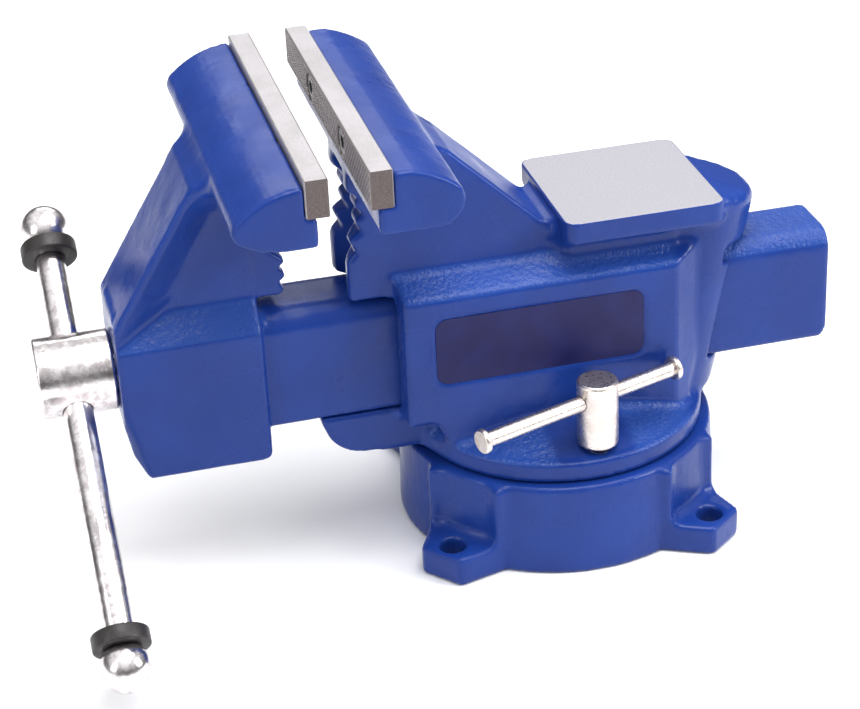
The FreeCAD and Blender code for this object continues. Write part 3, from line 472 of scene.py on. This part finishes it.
def satin_nickel():
    """Satin plating of the lock bolts and their bars."""
    look = Look("satin_nickel", (0.66, 0.60, 0.56), 0.33, 1.0)
    fine = look.noise(1300.0, 2.0, 0.6)
    soft = look.noise(120.0, 3.0, 0.6)
    look.link(look.mix(look.span(soft, 0.35, 0.7), (0.72, 0.66, 0.62), (0.55, 0.49, 0.46)),
              look.shader.inputs["Base Color"])
    look.link(look.span(fine, 0.3, 0.7, 0.26, 0.40), look.shader.inputs["Roughness"])
    look.bump([(fine, 0.2, 0.0002), (soft, 0.15, 0.0004)])
    return look.material


def dark_steel():
    """Oiled, blackened fastener steel."""
    look = Look("dark_steel", (0.16, 0.155, 0.155), 0.38, 0.9)
    grain = look.noise(900.0, 3.0, 0.6)
    look.link(look.mix(look.span(grain, 0.35, 0.7), (0.20, 0.19, 0.19), (0.10, 0.10, 0.10)),
              look.shader.inputs["Base Color"])
    look.link(look.span(grain, 0.3, 0.7, 0.30, 0.48), look.shader.inputs["Roughness"])
    look.bump([(grain, 0.2, 0.0002)])
    return look.material


def ring_rubber():
    """Dark grey moulded rubber."""
    look = Look("ring_rubber", (0.035, 0.033, 0.034), 0.5, Specular_IOR_Level=0.45)
    grain = look.noise(1100.0, 3.0, 0.6)
    look.link(look.mix(look.span(grain, 0.35, 0.7), (0.024, 0.020, 0.020), (0.012, 0.010, 0.010)),
              look.shader.inputs["Base Color"])
    look.link(look.span(look.noise(160.0, 2.0), 0.3, 0.7, 0.38, 0.55), look.shader.inputs["Roughness"])
    look.bump([(grain, 0.25, 0.0003)])
    return look.material


def bronze():
    """Cast bronze of the nut."""
    look = Look("cast_bronze", (0.48, 0.30, 0.12), 0.42, 0.95)
    grain = look.noise(700.0, 3.0, 0.6)
    look.link(look.mix(look.span(grain, 0.35, 0.7), (0.52, 0.34, 0.14), (0.34, 0.20, 0.08)),
              look.shader.inputs["Base Color"])
    look.link(look.span(grain, 0.3, 0.7, 0.34, 0.52), look.shader.inputs["Roughness"])
    look.bump([(grain, 0.3, 0.0004)])
    return look.material


def label_ink():
    """Blank navy label under a clear film."""
    look = Look("navy_label", (0.020, 0.016, 0.078), 0.4, Coat_Weight=0.03,
                Coat_Roughness=0.2, Specular_IOR_Level=0.18)
    cloud = look.noise(90.0, 2.0)
    look.link(look.mix(look.span(cloud, 0.3, 0.7), (0.015, 0.015, 0.088), (0.011, 0.011, 0.068)),
              look.shader.inputs["Base Color"])
    look.link(look.span(look.noise(300.0, 2.0), 0.3, 0.7, 0.36, 0.46), look.shader.inputs["Roughness"])
    look.bump([(look.noise(500.0, 2.0), 0.05, 0.0002)])
    return look.material


CHROME, NICKEL = plated_steel(), satin_nickel()
DARK, RUBBER, BRONZE, NAVY = dark_steel(), ring_rubber(), bronze(), label_ink()


# ---------------------------------------------------------------- castings
def nothing_machined(place):
    """No part of this casting is machined."""
    return np.zeros(len(place))


def fixed_jaw():
    """Fixed jaw casting: cast fillets everywhere but in the fits."""
    cast = Casting("fixed_jaw_body", VOXEL, 7.0)
    low, high = cast.low, cast.high
    plate_low, plate_high = corners("fixed_jaw_plate")
    label_low, label_high = corners("label_plate")
    disc_high, channel_half, channel_low, channel_high = 48.5, 18.4, 61.4, 112.1
    anvil_top, anvil_under = 139.3, 136.5
    head_low = plate_low[2] - 14
    cast.fill_corners(3.0)
    cast.fill_corners(9.0, (low[0], plate_high[1] + 4, head_low - 12), (high[0], 10, high[2]), 6.0)
    cast.fill_corners(6.0, (low[0], -10, 112), (high[0], high[1], 131), 4.0)
    cast.keep_sharp((low[0], plate_low[1] - 8, plate_low[2] - 1), (high[0], plate_high[1] + 1, high[2] + 4))
    cast.keep_sharp((-40, low[1], low[2] - 4), (40, high[1], disc_high - 9))
    cast.keep_sharp((-channel_half, low[1] - 4, channel_low), (channel_half, high[1] + 4, channel_high))
    cast.keep_sharp((-18.5, plate_low[1] - 10, 112), (18.5, plate_high[1] + 5, 170))
    cast.keep_sharp((label_low[0] - 1, label_low[1] - 0.6, label_low[2] - 0.6),
                    (label_high[0] + 3, label_high[1] + 0.6, label_high[2] + 0.6))
    cast.round_edges(EDGE)
    cast.round_edges(4.5, (-40, 69, 108), (40, 100, 150), 3.0)
    cast.keep_sharp((-36, -6, anvil_under), (36, 65, 142))

    def machined(place):
        return (np.abs(place[:, 2] - anvil_top) < 0.4).astype(float)

    thing = casting_object("fixed_jaw_casting", cast, machined)
    bare = ((-0.0334, -0.0029, 0.1385), (0.0334, 0.0628, 0.1402))
    # blocks of pebbled mould skin; their upward faces also get a painted highlight in the enamel
    rough = [((-0.034, -0.069, 0.113), (0.034, 0.041, 0.1225)),
             ((-0.060, -0.060, 0.0480), (0.060, -0.018, 0.0600)),
             ((-0.060, 0.020, 0.0480), (0.060, 0.045, 0.0600))]
    return finish_piece(thing, "fixed_jaw", "casting", enamel("blue_enamel_fixed_jaw", bare, rough),
                        "fixed_jaw_body")


def moving_jaw():
    """Moving jaw casting, with its hollows left as machined."""
    cast = Casting("moving_jaw_body", VOXEL)
    low, high = cast.low, cast.high
    plate_low, plate_high = corners("moving_jaw_plate")
    cast.fill_corners(2.5, (-40, low[1], 108), (40, high[1], high[2]), 2.0)
    cast.fill_corners(13.0, (-40, low[1], 127), (40, plate_low[1] - 6, 178), 5.0)
    cast.keep_sharp((low[0], plate_low[1] - 1, plate_low[2] - 1), (high[0], plate_high[1] + 8, high[2] + 4))
    cast.keep_sharp((-18, -124, 112), (18, plate_high[1], 146))
    cast.keep_sharp((-16.6, -166, low[2] - 4), (16.6, 107, 105.5))
    cast.round_edges(EDGE)
    thing = casting_object("moving_jaw_casting", cast, nothing_machined)
    # blocks of pebbled mould skin; their upward faces also get a painted highlight in the enamel
    rough = [((-0.023, -0.178, 0.1060), (0.023, -0.1235, 0.1185)),
             ((-0.018, 0.050, 0.1015), (0.018, 0.113, 0.1122))]
    return finish_piece(thing, "moving_jaw", "casting", enamel("blue_enamel_moving_jaw", None, rough),
                        "moving_jaw_body")


def swivel_base():
    """Swivel base casting."""
    cast = Casting("swivel_base", VOXEL)
    cast.fill_corners(3.0)
    cast.keep_sharp((-61, -61, -4), (61, 61, 45))
    cast.fill_corners(3.0, (-90, -90, 12), (90, 90, 40), 2.0)
    cast.round_edges(EDGE)
    thing = casting_object("swivel_base_casting", cast, nothing_machined)
    return finish_piece(thing, "base", "casting", enamel("blue_enamel_base"), "swivel_base")


# ---------------------------------------------------------------- jaw plates
def jaw_plate(node, outward):
    """Jaw plate with a diamond-serrated face and softened edges."""
    low, high = corners(node)
    screw_low, screw_high = corners(node.replace("jaw_plate", "plate_screws"))
    width, height = high[0] - low[0], high[2] - low[2]
    face = high[1] if outward > 0 else low[1]
    back = low[1] if outward > 0 else high[1]
    step = 0.35
    pitch, depth, margin = 3.0, 0.7, 0.5
    columns = int(round(width / step))
    rows = int(round(height / step))
    across = np.linspace(low[0], high[0], columns + 1)
    up = np.linspace(low[2], high[2], rows + 1)
    u, v = np.meshgrid(across, up, indexing="ij")
    first, second = (u + v) / pitch, (u - v) / pitch
    groove = np.maximum(1 - np.abs(first % 1 - 0.5) / 0.3, 1 - np.abs(second % 1 - 0.5) / 0.3)
    edge = np.minimum(np.minimum(u - low[0], high[0] - u), np.minimum(v - low[2], high[2] - v))
    drop = depth * np.clip(groove, 0, 1) * np.clip(edge / margin - 0.6, 0, 1)
    head_radius = (screw_high[2] - screw_low[2]) / 2 + 0.35
    screw_z = (screw_low[2] + screw_high[2]) / 2
    for centre in (screw_low[0] + head_radius, screw_high[0] - head_radius):
        away = np.hypot(u - centre, v - screw_z)
        drop = np.where(away < head_radius, 0.9 + np.clip(head_radius - away, 0, 3.0), drop)
        drop = np.where((away >= head_radius) & (away < head_radius + 0.4), 0.15, drop)
    chamfer = 0.5
    drop = np.maximum(drop, chamfer * np.clip(1 - edge / chamfer, 0, 1))
    front = np.stack([u, face - outward * drop, v], -1).reshape(-1, 3)
    number = np.arange((columns + 1) * (rows + 1)).reshape(columns + 1, rows + 1)
    quads = np.stack([number[:-1, :-1], number[1:, :-1], number[1:, 1:], number[:-1, 1:]], -1)
    rim = np.concatenate([number[:, 0], number[-1, 1:], number[-2::-1, -1], number[0, -2:0:-1]])
    points = [front]
    rings = [rim]
    total = len(front)
    for inset, at in ((0.0, back + outward * chamfer), (chamfer, back)):
        ring = front[rim].copy()
        ring[:, 1] = at
        ring[:, 0] = np.clip(ring[:, 0], low[0] + inset, high[0] - inset)
        ring[:, 2] = np.clip(ring[:, 2], low[2] + inset, high[2] - inset)
        points.append(ring)
        rings.append(np.arange(total, total + len(rim)))
        total += len(rim)
    faces = quads.reshape(-1, 4).tolist()
    for near, far in zip(rings, rings[1:]):
        faces += np.stack([near, far, np.roll(far, -1), np.roll(near, -1)], -1).tolist()
    faces.append(rings[-1].tolist())
    if outward > 0:
        faces = [face[::-1] for face in faces]
    thing = new_object(node + "_serrated", np.concatenate(points), faces, smooth=False)
    body = "fixed_jaw" if outward < 0 else "moving_jaw"
    steel = ground_steel("ground_steel_" + body, face * MM, outward)
    return finish_piece(thing, body, "jaw_steel", steel, node)


# ---------------------------------------------------------------- turned pieces
def swept_rings(profile, origin, direction):
    """Points of the circles that a profile of (distance along the axis, radius) sweeps out."""
    turn = Vector((0, 0, 1)).rotation_difference(Vector(direction)).to_matrix()
    angles = np.arange(SEGMENTS) * 2 * math.pi / SEGMENTS
    rings = [np.stack([radius * np.cos(angles), radius * np.sin(angles), np.full(SEGMENTS, along)], 1)
             for along, radius in profile]
    return np.concatenate(rings) @ np.array(turn).T + np.array(origin)


def lathe(name, profile, origin, direction):
    """Closed turned solid from an open profile, in millimetres."""
    faces = []
    for row in range(len(profile) - 1):
        for spot in range(SEGMENTS):
            following = (spot + 1) % SEGMENTS
            faces.append((row * SEGMENTS + spot, row * SEGMENTS + following,
                          (row + 1) * SEGMENTS + following, (row + 1) * SEGMENTS + spot))
    faces.append(tuple(range(SEGMENTS))[::-1])
    faces.append(tuple((len(profile) - 1) * SEGMENTS + spot for spot in range(SEGMENTS)))
    return new_object(name, swept_rings(profile, origin, direction), faces)


def ring_lathe(name, outline, origin, direction):
    """Turned ring from a closed outline, in millimetres."""
    faces = []
    for row in range(len(outline)):
        below = (row + 1) % len(outline)
        for spot in range(SEGMENTS):
            following = (spot + 1) % SEGMENTS
            faces.append((row * SEGMENTS + spot, below * SEGMENTS + spot,
                          below * SEGMENTS + following, row * SEGMENTS + following))
    return new_object(name, swept_rings(outline, origin, direction), faces)


def arc(centre_along, centre_radius, size, start, end, steps):
    """Points of a rounded corner in a turned profile, angles in degrees from the axis."""
    return [(centre_along + size * math.cos(math.radians(angle)),
             centre_radius + size * math.sin(math.radians(angle)))
            for angle in np.linspace(start, end, steps)]


def rounded_rod(low, high, radius, edge, steps=5):
    """Profile of a rod with rounded rims."""
    return ([(low, max(radius - edge, 0.01))] + arc(low + edge, radius - edge, edge, 180, 90, steps)[1:]
            + arc(high - edge, radius - edge, edge, 90, 0, steps))


HANDLE_WAY = np.array(JOINTS["handle_slide"]["axis"])
SCREW_AT = np.array(JOINTS["screw_turn"]["pos_m"]) / MM


def handle():
    """Bar, balls and rubber rings of the sliding handle."""
    ball_low, ball_high = corners("handle_ball_upper")
    centre = np.array([SCREW_AT[0], (ball_low[1] + ball_high[1]) / 2, SCREW_AT[2]])
    short, long_, shoulder = 66.5, 123.5, 7.2
    ball, bar, ring, ring_thick, inset = 9.9, 5.9, 11.2, 6.6, 10.6
    closing_angle, ring_soft = 136, 0.9
    rod = lathe("handle_bar", rounded_rod(-short + shoulder, long_ - shoulder, bar, 0.4), centre,
                HANDLE_WAY)
    finish_piece(rod, "handle", "plated_steel", CHROME, "handle_rod")
    for end, at, sign in (("upper", -short, -1), ("lower", long_, 1)):
        angles = np.radians(np.linspace(0, closing_angle, 40))
        profile = [(sign * ball * math.cos(angle), max(ball * math.sin(angle), 0.02)) for angle in angles]
        if sign > 0:
            profile = profile[::-1]
        knob = lathe("handle_ball_%s_turned" % end, profile, centre + HANDLE_WAY * at, HANDLE_WAY)
        finish_piece(knob, "handle", "plated_steel", CHROME, "handle_ball_" + end)
        where = centre + HANDLE_WAY * (at - sign * inset)
        half = ring_thick / 2
        outline = (arc(half - ring_soft, ring - ring_soft, ring_soft, 0, 90, 5)
                   + arc(-half + ring_soft, ring - ring_soft, ring_soft, 90, 180, 5)
                   + [(-half, bar + 0.6), (-half + 0.4, bar + 0.05),
                      (half - 0.4, bar + 0.05), (half, bar + 0.6)])
        band = ring_lathe("handle_ring_%s_moulded" % end, outline, where, HANDLE_WAY)
        finish_piece(band, "handle", "ring_rubber", RUBBER, "handle_ring_" + end)


def screw_thread():
    """Trapezoidal thread of the main screw."""
    start, end = -143.4, corners("main_screw")[1][1] - 6
    pitch, crest, root = 5.0, 10.1, 8.4
    per_turn = 72
    slices = int((end - start) / pitch * 12)
    along = np.linspace(start, end, slices + 1)
    angles = np.arange(per_turn) * 2 * math.pi / per_turn
    y, theta = np.meshgrid(along, angles, indexing="ij")
    phase = (y / pitch + theta / (2 * math.pi)) % 1
    height = np.clip((0.36 - np.abs(phase - 0.5)) / 0.12, 0, 1)
    fade = np.clip((y - start) / 3, 0, 1) * np.clip((end - y) / 3, 0, 1)
    radius = root + (crest - root) * height * fade
    points = np.stack([radius * np.cos(theta) + SCREW_AT[0], y, radius * np.sin(theta) + SCREW_AT[2]], -1)
    number = np.arange((slices + 1) * per_turn).reshape(slices + 1, per_turn)
    after = np.roll(number, -1, axis=1)
    quads = np.stack([number[:-1], number[1:], after[1:], after[:-1]], -1).reshape(-1, 4)
    faces = quads.tolist() + [number[0].tolist(), number[-1][::-1].tolist()]
    thing = new_object("main_screw_thread", points.reshape(-1, 3), faces)
    return finish_piece(thing, "main_screw", "plated_steel", CHROME)


def carried(node, material):
    """Give a CAD node that keeps its shape a finished material."""
    NODES[node].data.materials.clear()
    NODES[node].data.materials.append(material)


def small_parts():
    """Finish the nodes that are carried over from the CAD."""
    for node in ("fixed_plate_screws", "moving_plate_screws", "thrust_washer", "takeup_spring",
                 "retaining_collar", "collar_pin", "nut_bolt", "nut_bolt_washer", "clamp_nut_near",
                 "clamp_nut_far"):
        carried(node, DARK)
    carried("main_nut", BRONZE)
    carried("main_screw", CHROME)
    carried("label_plate", NAVY)
    for side in ("near", "far"):
        carried("lock_bolt_" + side, NICKEL)
        carried("lock_bar_" + side, NICKEL)


# ---------------------------------------------------------------- stage, light and camera
def studio():
    """Pale floor, soft lights and the camera."""
    bpy.ops.mesh.primitive_plane_add(size=8, location=(0, 0, 0))
    floor = bpy.context.object
    floor.name = "studio_floor"
    look = Look("pale_floor", (0.92, 0.92, 0.93), 0.9)
    look.link(look.mix(look.noise(2.0), (0.92, 0.92, 0.93), (0.94, 0.94, 0.94)),
              look.shader.inputs["Base Color"])
    floor.data.materials.append(look.material)
    world = bpy.data.worlds.new("studio_air")
    bpy.context.scene.world = world
    world.use_nodes = True
    tree = world.node_tree
    split = tree.nodes.new("ShaderNodeSeparateXYZ")
    tree.links.new(tree.nodes.new("ShaderNodeTexCoord").outputs["Generated"], split.inputs[0])
    ramp = tree.nodes.new("ShaderNodeValToRGB")
    stops = ((0.0, 0.16), (0.30, 0.20), (0.52, 0.75), (0.80, 1.25))
    while len(ramp.color_ramp.elements) < len(stops):
        ramp.color_ramp.elements.new(0.5)
    for element, (place, level) in zip(ramp.color_ramp.elements, stops):
        element.position = place
        element.color = (level, level, level, 1)
    tree.links.new(split.outputs["Z"], ramp.inputs["Fac"])
    tree.links.new(ramp.outputs["Color"], tree.nodes["Background"].inputs["Color"])
    tree.nodes["Background"].inputs["Strength"].default_value = 0.8
    target = Vector((0, -0.03, 0.09))
    for name, place, size, power in (("top_panel", (0.1, 0.1, 1.25), (1.0, 0.8), 16),
                                     ("right_panel", (0.55, 1.0, 0.75), (0.5, 0.7), 12),
                                     ("left_panel", (0.5, -1.1, 0.55), (0.4, 0.6), 4),
                                     ("back_panel", (-1.2, 0.1, 0.85), (1.0, 0.4), 2.5)):
        data = bpy.data.lights.new(name, "AREA")
        data.shape = "RECTANGLE"
        data.size, data.size_y = size
        data.energy = power
        lamp = bpy.data.objects.new(name, data)
        lamp.visible_camera = False
        bpy.context.scene.collection.objects.link(lamp)
        lamp.location = place
        lamp.rotation_euler = (target - Vector(place)).to_track_quat("-Z", "Y").to_euler()
    data = bpy.data.cameras.new("photo_camera")
    data.lens = 98.3
    data.sensor_width = 36
    data.clip_end = 20
    camera = bpy.data.objects.new("photo_camera", data)
    bpy.context.scene.collection.objects.link(camera)
    camera.location = (0.8207, -0.2423, 0.5332)
    camera.rotation_euler = [math.radians(angle) for angle in (61.38, 2.49, 75.60)]
    bpy.context.scene.camera = camera
    bpy.context.scene.view_settings.view_transform = "Standard"


fixed_jaw()
moving_jaw()
swivel_base()
jaw_plate("fixed_jaw_plate", -1)
jaw_plate("moving_jaw_plate", 1)
handle()
screw_thread()
small_parts()
studio()
